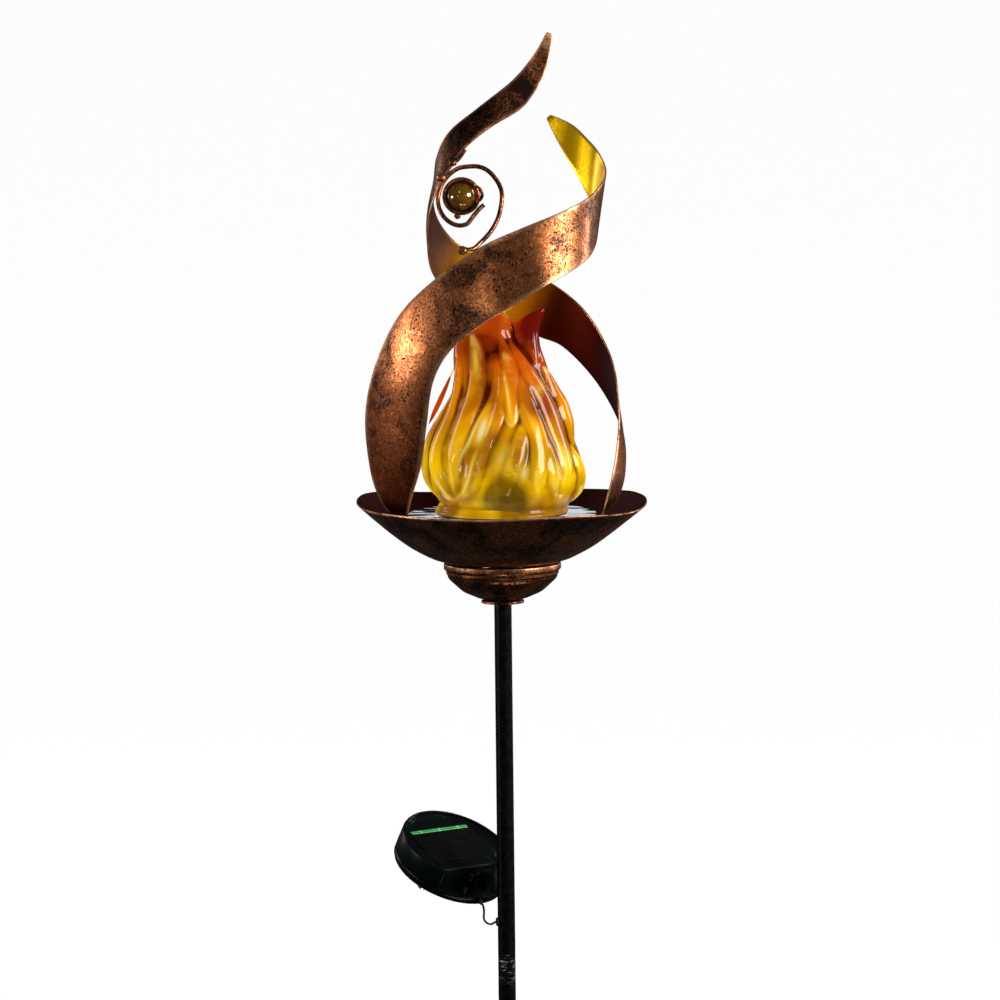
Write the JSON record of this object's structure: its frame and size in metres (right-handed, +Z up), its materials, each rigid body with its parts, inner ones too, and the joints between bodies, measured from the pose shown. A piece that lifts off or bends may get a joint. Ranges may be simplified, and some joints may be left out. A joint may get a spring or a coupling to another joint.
{
  "type": "solar garden torch",
  "caption": "Solar garden torch: curled bronze ribbons round an amber glass flame in a shallow bowl, on a sectional black pole with a ground fork and a tilting solar panel.",
  "frame": {"origin": "on the pole's axis at the soil line, the underside of the ground fork's crossbar", "axes": "+Z up the pole, -Y the torch's front, +X to the right as seen from the front"},
  "size_m": [0.16, 0.16, 0.9342],
  "materials": {
    "bronze": "mottled antique bronze over steel",
    "black_paint": "semi-gloss",
    "black_plastic": "satin",
    "chrome": "polished",
    "steel": "plain",
    "amber_glass": "blown, pearly",
    "clear_plastic": "clear",
    "diffuser": "frosted",
    "led_lens": "clear",
    "rubber": "matte",
    "cable_skin": "satin",
    "solar_cell": "gloss",
    "circuit_board": "satin",
    "battery_wrap": "printed sleeve"
  },
  "bodies": {
    "ground_stake": {"ground_fork": "black_paint", "fork_stub": "black_paint", "pole_lower": "black_paint"},
    "sleeve": {"coupling_sleeve": "black_paint"},
    "head": {"ribbon_front": "bronze", "ribbon_back": "bronze", "scroll_wire": "bronze", "wire_brace": "bronze", "marble": "amber_glass", "marble_ring": "bronze", "bowl": "bronze", "glass_flame": "amber_glass", "glass_gasket": "rubber", "reflector_plate": "chrome", "led_base": "black_plastic", "led_board": "circuit_board", "led": "led_lens", "led_dome": "diffuser", "pole_flange": "bronze", "cup": "bronze", "cup_ring": "bronze", "threaded_nipple": "steel", "pole_top_insert": "steel", "bowl_washer": "steel", "bowl_nut": "steel", "plate_spacer": "black_plastic", "plate_nut": "steel", "pole_upper": "black_paint", "cable_grommet": "rubber", "lead_wire": "cable_skin", "panel_bracket": "black_plastic", "bracket_screw_lower": "steel", "bracket_screw_upper": "steel", "pivot_bolt": "black_paint", "pivot_nut": "black_paint", "panel_cable": "cable_skin"},
    "panel": {"panel_housing": "black_plastic", "panel_base": "black_plastic", "panel_window": "clear_plastic", "solar_cell": "solar_cell", "battery": "battery_wrap", "battery_contact_plus": "steel", "battery_contact_minus": "steel", "control_board": "circuit_board", "switch_body": "steel", "housing_screw_1": "steel", "housing_screw_2": "steel", "housing_screw_3": "steel", "battery_door": "black_plastic", "door_screw": "steel", "cable_gland": "rubber"},
    "switch_knob": {"switch_slider": "black_plastic"}
  },
  "joints": [
    {"name": "head_lift", "type": "slide", "parent": "ground_stake", "child": "sleeve", "axis": [0, 0, 1], "range_m": [0, 0.04]},
    {"name": "head_turn", "type": "hinge", "parent": "sleeve", "child": "head", "pos_m": [0, 0, 0.3034], "axis": [0, 0, 1], "continuous": true},
    {"name": "panel_tilt", "type": "hinge", "parent": "head", "child": "panel", "pos_m": [-0.01338, 0.01486, 0.3466], "axis": [0.7431, 0.6691, 0], "range_deg": [-31, 50], "deforming": ["panel_cable"]},
    {"name": "switch_slide", "type": "slide", "parent": "panel", "child": "switch_knob", "axis": [0.7431, 0.6691, 0], "range_m": [0, 0.003]}
  ]
}
